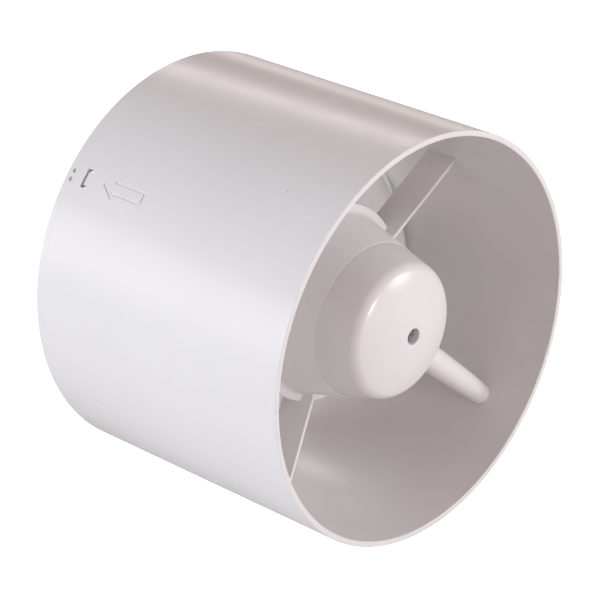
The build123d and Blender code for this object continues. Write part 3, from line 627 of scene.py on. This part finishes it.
for index in range(HOOKS):
    prism(hooks, rounded_box(0.85 * MM, 2.5 * MM, 0.3 * MM), WINDOW_ANGLE + 360 / HOOKS * index,
          WINDOW_Y, SKIRT_R - HOOK_FOOT, TUBE_R - HOOK_INSET)
ring_hooks = finish_mesh(hooks, "ring_hooks")
install(outlet_ring, shell_white, "housing", "shell_white", "rear_ring")
install(ring_hooks, shell_white, "housing", "shell_white", "rear_ring")

# %% [markdown]
# ## Geometry Nodes: copies round the duct
# Vanes and blades repeat by a rule, so one small tree serves both. It makes a given number of
# points on the duct's axis, turns each by a further angle, puts the source piece on them, and
# ends in real geometry with its material set.


# %% Build the repeating tree
def repeat_tree():
    """A Geometry Nodes tree that repeats its own geometry round the duct's axis."""
    tree = bpy.data.node_groups.new("repeat_on_axis", "GeometryNodeTree")
    tree.interface.new_socket("Geometry", in_out="INPUT", socket_type="NodeSocketGeometry")
    for label, kind in (("Count", "NodeSocketInt"), ("Start Angle", "NodeSocketFloat"),
                        ("Angle Step", "NodeSocketFloat"), ("Material", "NodeSocketMaterial")):
        tree.interface.new_socket(label, in_out="INPUT", socket_type=kind)
    tree.interface.new_socket("Geometry", in_out="OUTPUT", socket_type="NodeSocketGeometry")
    source = tree.nodes.new("NodeGroupInput")
    result = tree.nodes.new("NodeGroupOutput")
    index = tree.nodes.new("GeometryNodeInputIndex").outputs[0]
    angle = maths(tree, "ADD", maths(tree, "MULTIPLY", index, source.outputs["Angle Step"]),
                  source.outputs["Start Angle"])
    turn = maths(tree, "MULTIPLY", angle, -math.pi / 180)
    spin = add(tree, "ShaderNodeCombineXYZ", [("Y", turn)])
    points = add(tree, "GeometryNodePoints", [("Count", source.outputs["Count"])])
    copies = add(tree, "GeometryNodeInstanceOnPoints",
                 [("Points", points.outputs[0]), ("Instance", source.outputs["Geometry"]),
                  ("Rotation", spin.outputs[0])])
    real = add(tree, "GeometryNodeRealizeInstances", [("Geometry", copies.outputs[0])])
    painted = add(tree, "GeometryNodeSetMaterial", [("Geometry", real.outputs[0]),
                                                    ("Material", source.outputs["Material"])])
    tree.links.new(painted.outputs[0], result.inputs["Geometry"])
    return tree


REPEAT = repeat_tree()


def repeated(piece, material, count, angle_step, start_angle=0.0):
    """Repeat a piece with the tree and turn the result into a plain mesh."""
    modifier = piece.modifiers.new("repeat", "NODES")
    modifier.node_group = REPEAT
    values = {"Count": count, "Start Angle": start_angle, "Angle Step": angle_step,
              "Material": material}
    for item in REPEAT.interface.items_tree:
        if item.in_out == "INPUT" and item.name in values:
            modifier[item.identifier] = values[item.name]
    bake(piece)
    return piece


# %% [markdown]
# ## The motor pod and its vanes
# The carrier is a cone that flares into a bright flange, then runs straight back. Five flat
# vanes join it to the tube. Each vane is a thin plate with rounded edges and a small swelling
# where it meets the pod, as a mould needs.

# %% Turn the pod
SCALLOP_R = 5.7 * MM     # clears the conduit, in the carrier and in the cap
pod_outline = soften([
    (CAP_R, PARTING_Y, 0.12 * MM),
    (SHOULDER_R + 0.5 * MM, SHOULDER_Y + 3.9 * MM, 2.2 * MM),
    (FLANGE_R, FLANGE_Y + 0.1 * MM, 0.45 * MM),
    (FLANGE_R, VANE_REAR_Y, 0.3 * MM),
    (FLANGE_R - POD_WALL, VANE_REAR_Y, 0.3 * MM),
    (FLANGE_R - POD_WALL, FLANGE_Y + 0.6 * MM, 0.5 * MM),
    (SHOULDER_R - POD_WALL, SHOULDER_Y, 0.5 * MM),
    (CAP_R - POD_WALL, PARTING_Y, 0.12 * MM),
], 8)
motor_pod = finish_mesh(turned(pod_outline), "motor_pod")
scallop = bmesh.new()
prism(scallop, disc(SCALLOP_R, 48), CONDUIT_ANGLE, CONDUIT_Y, 20 * MM, 35 * MM)
cut(motor_pod, scallop)
true_normals(motor_pod)
install(motor_pod, shell_white, "housing", "shell_white", "motor_carrier")


# %% Make one vane and repeat it
def vane_plate():
    """One vane along +X as a lofted plate: rounded edges, thicker where it meets the pod."""
    shape = bmesh.new()
    inner, outer = SHOULDER_R - 1.2 * MM, BORE_R - 0.05 * MM
    edge = 0.4 * MM
    stations = [(inner, 2.2), (SHOULDER_R + 0.5 * MM, 1.55), (SHOULDER_R + 1.6 * MM, 1.4),
                (outer - 1.4 * MM, 1.4), (outer - 0.4 * MM, 1.5), (outer, 1.7)]
    loops = []
    for radius, thick in stations:
        half = thick * MM / 2
        section = soften([(VANE_FRONT_Y, -half, edge), (VANE_REAR_Y, -half, edge),
                          (VANE_REAR_Y, half, edge), (VANE_FRONT_Y, half, edge)], 4)
        loops.append([shape.verts.new((radius, y, z)) for y, z in section])
    for low, high in zip(loops, loops[1:]):
        count = len(low)
        for i in range(count):
            shape.faces.new((low[i], low[(i + 1) % count], high[(i + 1) % count], high[i]))
    shape.faces.new(loops[0])
    shape.faces.new(loops[-1])
    bmesh.ops.recalc_face_normals(shape, faces=shape.faces)
    return finish_mesh(shape, "pod_vanes", 50)


pod_vanes = repeated(vane_plate(), shell_white, VANES, 360 / VANES, CONDUIT_ANGLE)
install(pod_vanes, shell_white, "housing", "shell_white", "motor_carrier")

# %% [markdown]
# ## The motor cap
# The cap carries the cone on and rounds over into a shallow dome with a hole for its screw. The
# carrier stands a hair proud of it at the parting line, which shows as a fine bright ring.

# %% Turn the cap
CAP_WALL = 1.8 * MM
CAP_SLOPE = 0.256
CAP_LEVEL_R = CAP_R - 5.22 * MM
CAP_DOME_R = 57 * MM
CAP_EDGE_R = 5.4 * MM
PROUD = 0.12 * MM        # the carrier's step over the cap at the parting line
HOLE_R = 2.95 * MM
SHELF_Y = CAP_FACE_Y + 4.3 * MM
BOSS_R = 4.6 * MM
BOSS_END_Y = CAP_FACE_Y + 6.3 * MM
SCREW_HOLE_R = 1.7 * MM
LIP = 1.4 * MM
cap_skin = crown(CAP_FACE_Y, CAP_LEVEL_R - PROUD, CAP_SLOPE, CAP_DOME_R, CAP_EDGE_R, HOLE_R)
cap_lining = crown(CAP_FACE_Y + CAP_WALL, CAP_LEVEL_R - 1.45 * MM, CAP_SLOPE, CAP_DOME_R - CAP_WALL,
                   CAP_EDGE_R - CAP_WALL, BOSS_R)
cap_skin[0] = cap_skin[0][:2] + (0.35 * MM,)
cap_lining[0] = cap_lining[0][:2] + (0.6 * MM,)
cap_outline = soften([
    (SCREW_HOLE_R, SHELF_Y, 0.1 * MM),
    (HOLE_R, SHELF_Y, 0.1 * MM),
    *cap_skin,
    (CAP_R - PROUD, PARTING_Y - 0.05 * MM, 0.12 * MM),
    (CAP_R - 1.0 * MM, PARTING_Y, 0),
    (CAP_R - 2.0 * MM, PARTING_Y + LIP, 0.2 * MM),
    (CAP_R - 3.0 * MM, PARTING_Y + LIP, 0.2 * MM),
    (CAP_R - 3.0 * MM, PARTING_Y - 1.2 * MM, 0),
    (CAP_R - 2.3 * MM, PARTING_Y - 1.6 * MM, 0),
    *reversed(cap_lining),
    (BOSS_R, BOSS_END_Y, 0.2 * MM),
    (SCREW_HOLE_R, BOSS_END_Y, 0.1 * MM),
], 6)
pod_cap = finish_mesh(turned(cap_outline), "pod_cap")
cap_slot = bmesh.new()
slot_path = [(SCALLOP_R * math.cos(math.radians(angle)), SCALLOP_R * math.sin(math.radians(angle)))
             for angle in range(90, 271, 6)]
slot_path += [(2 * SCALLOP_R, -SCALLOP_R), (2 * SCALLOP_R, SCALLOP_R)]
prism(cap_slot, slot_path, CONDUIT_ANGLE, CONDUIT_Y, 15 * MM, 35 * MM)
cut(pod_cap, cap_slot)
true_normals(pod_cap)
install(pod_cap, shell_white, "housing", "shell_white", "motor_cap")

# %% The screw down its centre hole
SCREW_HEAD_R = 2.6 * MM
SCREW_HEAD_Y = SHELF_Y - 2.0 * MM
SCREW_R = 1.5 * MM
SCREW_END_Y = SHELF_Y + 8 * MM
screw_outline = soften([
    (0, SCREW_HEAD_Y, 0), (SCREW_HEAD_R, SCREW_HEAD_Y, 0.7 * MM), (SCREW_HEAD_R, SHELF_Y, 0.1 * MM),
    (SCREW_R, SHELF_Y, 0), (SCREW_R, SCREW_END_Y, 0.4 * MM), (0, SCREW_END_Y, 0),
], 5)
cap_centre_screw = finish_mesh(turned(screw_outline, 64), "cap_centre_screw")
for angle in (20, 110):
    recess = bmesh.new()
    bmesh.ops.create_cube(recess, size=1)
    bmesh.ops.scale(recess, vec=(3.2 * MM, 2.4 * MM, 0.75 * MM), verts=recess.verts)
    bmesh.ops.rotate(recess, matrix=mathutils.Matrix.Rotation(math.radians(angle), 3, "Y"),
                     verts=recess.verts)
    bmesh.ops.translate(recess, vec=(0, SCREW_HEAD_Y, 0), verts=recess.verts)
    cut(cap_centre_screw, recess)
true_normals(cap_centre_screw)
install(cap_centre_screw, zinc_screw, "housing", "zinc_screw", "cap_screw")

# %% [markdown]
# ## The cable conduit
# A tapered tube that carries the mains cable from the wall to the pod. It is turned like the
# rest, then stood on its spoke.


# %% Turn the conduit and stand it on its spoke
def on_spoke(piece, angle, y):
    """Move a mesh turned round +Y so that its axis lies along a spoke."""
    turn = math.radians(angle)
    out = mathutils.Vector((math.cos(turn), 0, math.sin(turn)))
    along = mathutils.Vector((0, 1, 0))
    side = out.cross(along)
    basis = mathutils.Matrix((side, out, along)).transposed()
    piece.data.transform(basis.to_4x4())
    piece.data.transform(mathutils.Matrix.Translation((0, y, 0)))


CABLE_R = 3.1 * MM
CONDUIT_FLANGE_R = 6.3 * MM
CONDUIT_ROOT_R = 5.5 * MM
CONDUIT_MOUTH_R = 4.1 * MM
CONDUIT_START = 21.4 * MM
CONDUIT_END = TUBE_R - 0.5 * MM
conduit_outline = soften([
    (CABLE_R, CONDUIT_START, 0.2 * MM),
    (CONDUIT_FLANGE_R, CONDUIT_START, 0.3 * MM),
    (CONDUIT_FLANGE_R, CONDUIT_START + 1.0 * MM, 0.3 * MM),
    (CONDUIT_ROOT_R, CONDUIT_START + 1.1 * MM, 0),
    (CONDUIT_MOUTH_R, BORE_R - 1 * MM, 1 * MM),
    (CONDUIT_MOUTH_R, CONDUIT_END, 0.3 * MM),
    (CABLE_R, CONDUIT_END, 0.3 * MM),
])
conduit_sleeve = finish_mesh(turned(conduit_outline, 96), "conduit_sleeve")
on_spoke(conduit_sleeve, CONDUIT_ANGLE, CONDUIT_Y)
install(conduit_sleeve, shell_white, "housing", "shell_white", "cable_conduit")

# %% [markdown]
# ## The impeller
# The hub is a cup over the back of the motor. Each blade follows a helix round the duct, cambered
# like a wing, thick at its leading edge and thin behind, and swells where it grows out of the
# hub. One blade is built station by station, and the tree repeats it round the hub.

# %% Turn the hub
WHEEL_Y = wheel_low.y
WHEEL_DEPTH = wheel_high.y - wheel_low.y
WHEEL_END = wheel_high.y
HUB_R = FLANGE_R - 0.25 * MM
HUB_WALL = 1.8 * MM
DISH_R = 11 * MM
DISH_Y = WHEEL_END - 3.6 * MM
SHAFT_HOLE_R = 3.02 * MM
HUB_BOSS_R = 7.2 * MM
HUB_BOSS_Y = WHEEL_Y + 8.5 * MM
hub_outline = soften([
    (HUB_R - HUB_WALL, WHEEL_Y, 0.3 * MM),
    (HUB_R, WHEEL_Y, 0.4 * MM),
    (HUB_R, WHEEL_END, 4.8 * MM),
    (DISH_R, WHEEL_END, 0.8 * MM),
    (DISH_R, DISH_Y, 0.6 * MM),
    (SHAFT_HOLE_R, DISH_Y, 0.1 * MM),
    (SHAFT_HOLE_R, HUB_BOSS_Y, 0.2 * MM),
    (HUB_BOSS_R, HUB_BOSS_Y, 0.3 * MM),
    (HUB_BOSS_R, DISH_Y - HUB_WALL, 0.6 * MM),
    (DISH_R + HUB_WALL, DISH_Y - HUB_WALL, 0.4 * MM),
    (DISH_R + HUB_WALL, WHEEL_END - HUB_WALL, 0.3 * MM),
    (HUB_R - HUB_WALL, WHEEL_END - HUB_WALL, 3.4 * MM),
], 6)
wheel_hub = finish_mesh(turned(hub_outline), "wheel_hub")
true_normals(wheel_hub)
install(wheel_hub, wheel_white, "rotor", "impeller_white", "impeller")

# %% Make one blade and repeat it
BLADES = 4
BLADE_PITCH = 150 * MM
BLADE_PHASE = -12.3
BLADE_CAMBER = 0.8 * MM
TIP_R = THROAT_R - 1.16 * MM
BLADE_HALF_THICK = 0.92 * MM
ROOT_SWELL = 0.9 * MM
TIP_ROUND = 0.25 * MM
CHORD_STEPS = 36
SPAN_STEPS = 20
SETTLE_ROUNDS = 8        # rounds until a point lies on both its radius and its chord


def blade_point(radius, place, lift):
    """A point of a blade: a radius, a place from -1 to 1 along its chord and a lift off it."""
    half_depth = WHEEL_DEPTH / 2
    plane = radius
    for _ in range(SETTLE_ROUNDS):
        half_span = plane * math.tan(WHEEL_DEPTH / BLADE_PITCH * math.pi)
        chord = math.hypot(half_span, half_depth)
        out = place * half_span + lift * half_depth / chord
        plane = math.sqrt(radius**2 - out**2)
    y = min(max(place * half_depth - lift * half_span / chord, -half_depth), half_depth)
    return around(radius, BLADE_PHASE + math.degrees(math.atan2(out, plane)), WHEEL_Y + half_depth + y)


def blade():
    """One cambered blade from inside the hub's wall to its rounded tip."""
    shape = bmesh.new()
    root = HUB_R - 1.0 * MM
    loops = []
    for span in range(SPAN_STEPS + 1):
        radius = root + (TIP_R - root) * (1 - (1 - span / SPAN_STEPS) ** 1.5) if span else root
        swell = ROOT_SWELL * math.exp(-max(0.0, radius - HUB_R) / (1.2 * MM))
        near_tip = max(0.0, (radius - TIP_R + TIP_ROUND) / TIP_ROUND)
        thin = max(0.7, math.sqrt(max(0.0, 1 - near_tip**2)))
        loop = []
        for side in (1, -1):
            for step in range(side == -1, CHORD_STEPS + (side == 1)):
                wave = math.cos(math.pi * step / CHORD_STEPS)
                place = -wave if side == 1 else wave
                body = (1 - place**2) ** 0.5 * (1.0 - 0.25 * place)
                half_thick = (BLADE_HALF_THICK * body + swell * (1 - place**4)) * thin
                lift = BLADE_CAMBER * (1 - place**2) + side * half_thick
                loop.append(shape.verts.new(blade_point(radius, place, lift)))
        loops.append(loop)
    for low, high in zip(loops, loops[1:]):
        count = len(low)
        for i in range(count):
            shape.faces.new((low[i], low[(i + 1) % count], high[(i + 1) % count], high[i]))
    shape.faces.new(loops[0])
    shape.faces.new(loops[-1])
    bmesh.ops.recalc_face_normals(shape, faces=shape.faces)
    return finish_mesh(shape, "wheel_blades", 60)


wheel_blades = repeated(blade(), wheel_white, BLADES, 360 / BLADES)
install(wheel_blades, wheel_white, "rotor", "impeller_white", "impeller")

# %% The nut in the dish
nut_low, nut_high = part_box("impeller_nut")
NUT_R = nut_high.x
NUT_FLAT_R = NUT_R * math.cos(math.radians(30))
nut_outline = soften([
    (SHAFT_HOLE_R, nut_low.y, 0.3 * MM),
    (NUT_R * 1.02, nut_low.y, 0),
    (NUT_R * 1.02, nut_high.y - 0.75 * MM, 0),
    (NUT_R * 0.86, nut_high.y, 0.1 * MM),
    (SHAFT_HOLE_R, nut_high.y, 0.35 * MM),
])
wheel_nut = finish_mesh(turned(nut_outline, 96), "wheel_nut")
for side in range(6):
    flat = bmesh.new()
    angle = math.radians(30 + 60 * side)
    bmesh.ops.create_cube(flat, size=1)
    bmesh.ops.scale(flat, vec=(4 * MM, 10 * MM, 12 * MM), verts=flat.verts)
    bmesh.ops.translate(flat, vec=(NUT_FLAT_R + 2 * MM, nut_low.y, 0), verts=flat.verts)
    bmesh.ops.rotate(flat, matrix=mathutils.Matrix.Rotation(-angle, 3, "Y"), verts=flat.verts)
    cut(wheel_nut, flat)
true_normals(wheel_nut)
install(wheel_nut, shaft_steel, "rotor", "shaft_steel", "impeller_nut")

# %% [markdown]
# ## Everything inside the pod
# The motor, bushes, terminals and screws keep their CAD shapes, which are already true. They only
# need their finishes.

# %% Finishes for the CAD pieces
FINISHES = {
    "tray_plastic": tray_plastic, "terminal_plastic": terminal_plastic, "terminal_brass": terminal_brass,
    "zinc_screw": zinc_screw, "shaft_steel": shaft_steel, "lamination_steel": lamination_steel,
    "cast_aluminium": cast_aluminium, "bobbin_nylon": bobbin_nylon, "enamelled_copper": enamelled_copper,
    "sintered_bronze": sintered_bronze, "oiled_felt": oiled_felt, "soft_rubber": soft_rubber,
    "lead_sleeve": lead_sleeve, "cutout_case": cutout_case, "shell_white": shell_white,
    "impeller_white": wheel_white,
}
for subpart in frame["record"]["subparts"]:
    node = frame["nodes"][subpart["node"]]
    node.data.materials.clear()
    node.data.materials.append(FINISHES[subpart["material_slot"]])

# %% [markdown]
# ## Floor, light and camera
# The fan lies on a pale floor. A broad light from the left makes its left side bright, two boxes
# in front light the cap, and the inside of the tube falls off to a warm grey. Two low strips
# behind draw the long highlight along the top.

# %% Floor
floor_shape = bmesh.new()
bmesh.ops.create_grid(floor_shape, x_segments=1, y_segments=1, size=6.0)
bmesh.ops.translate(floor_shape, vec=(0, 0, -TUBE_R - 0.0002), verts=floor_shape.verts)
floor = finish_mesh(floor_shape, "floor")
floor_paint, floor_tree, floor_shader = new_material("floor_paint")[:3]
floor_shader.inputs["Base Color"].default_value = (0.80, 0.78, 0.77, 1)
floor_shader.inputs["Roughness"].default_value = 0.9
floor_shader.inputs["Emission Color"].default_value = (1, 1, 1, 1)
seen = floor_tree.nodes.new("ShaderNodeLightPath").outputs["Is Camera Ray"]
floor_tree.links.new(seen, floor_shader.inputs["Emission Strength"])
floor.data.materials.append(floor_paint)


# %% Lights
def softbox(name, place, size, power, colour):
    """A rectangular area light that faces the fan."""
    data = bpy.data.lights.new(name, "AREA")
    data.shape = "RECTANGLE"
    data.size, data.size_y = size
    data.energy = power
    data.color = colour
    light = bpy.data.objects.new(name, data)
    light.location = place
    light.rotation_euler = (-mathutils.Vector(place)).to_track_quat("-Z", "Y").to_euler()
    scene.collection.objects.link(light)


softbox("left_back", (-1.25, 1.05, 0.25), (1.1, 0.64), 4.3, (1.0, 0.95, 0.86))
softbox("left_side", (-1.6, 0.4, 0.35), (0.7, 0.7), 16.0, (0.76, 0.87, 1.0))
softbox("axis_front", (0.0, -1.85, 0.32), (0.35, 0.35), 10.9, (1.0, 0.94, 0.95))
softbox("right_front", (1.0, -1.3, 0.5), (0.6, 0.6), 10.0, (0.92, 0.96, 1.0))
softbox("strip", (1.02, 1.04, 0.90), (0.8, 0.17), 2.2, (1.0, 0.91, 0.91))
softbox("low_back", (1.02, 1.04, 0.10), (0.9, 0.22), 0.85, (1.0, 0.91, 0.91))

world = bpy.data.worlds.new("studio")
world.use_nodes = True
world.node_tree.nodes["Background"].inputs["Color"].default_value = (1.0, 0.81, 0.75, 1)
world.node_tree.nodes["Background"].inputs["Strength"].default_value = 0.34
scene.world = world
scene.view_settings.view_transform = "Standard"

# %% Camera
AZIMUTH, ELEVATION, DISTANCE = -46.434, 24.727, 0.960817
turn, rise = math.radians(AZIMUTH), math.radians(ELEVATION)
right = mathutils.Vector((math.cos(turn), math.sin(turn), 0))
back = mathutils.Vector((math.sin(turn) * math.cos(rise), -math.cos(turn) * math.cos(rise), math.sin(rise)))
up = back.cross(right)
target = -1.142 * MM * right - 2.452 * MM * up
camera_data = bpy.data.cameras.new("camera")
camera_data.sensor_width = 36
camera_data.lens = 161.27
camera = bpy.data.objects.new("camera", camera_data)
placement = mathutils.Matrix((right, up, back)).transposed().to_4x4()
placement.translation = target + DISTANCE * back
camera.matrix_world = placement
scene.collection.objects.link(camera)
scene.camera = camera
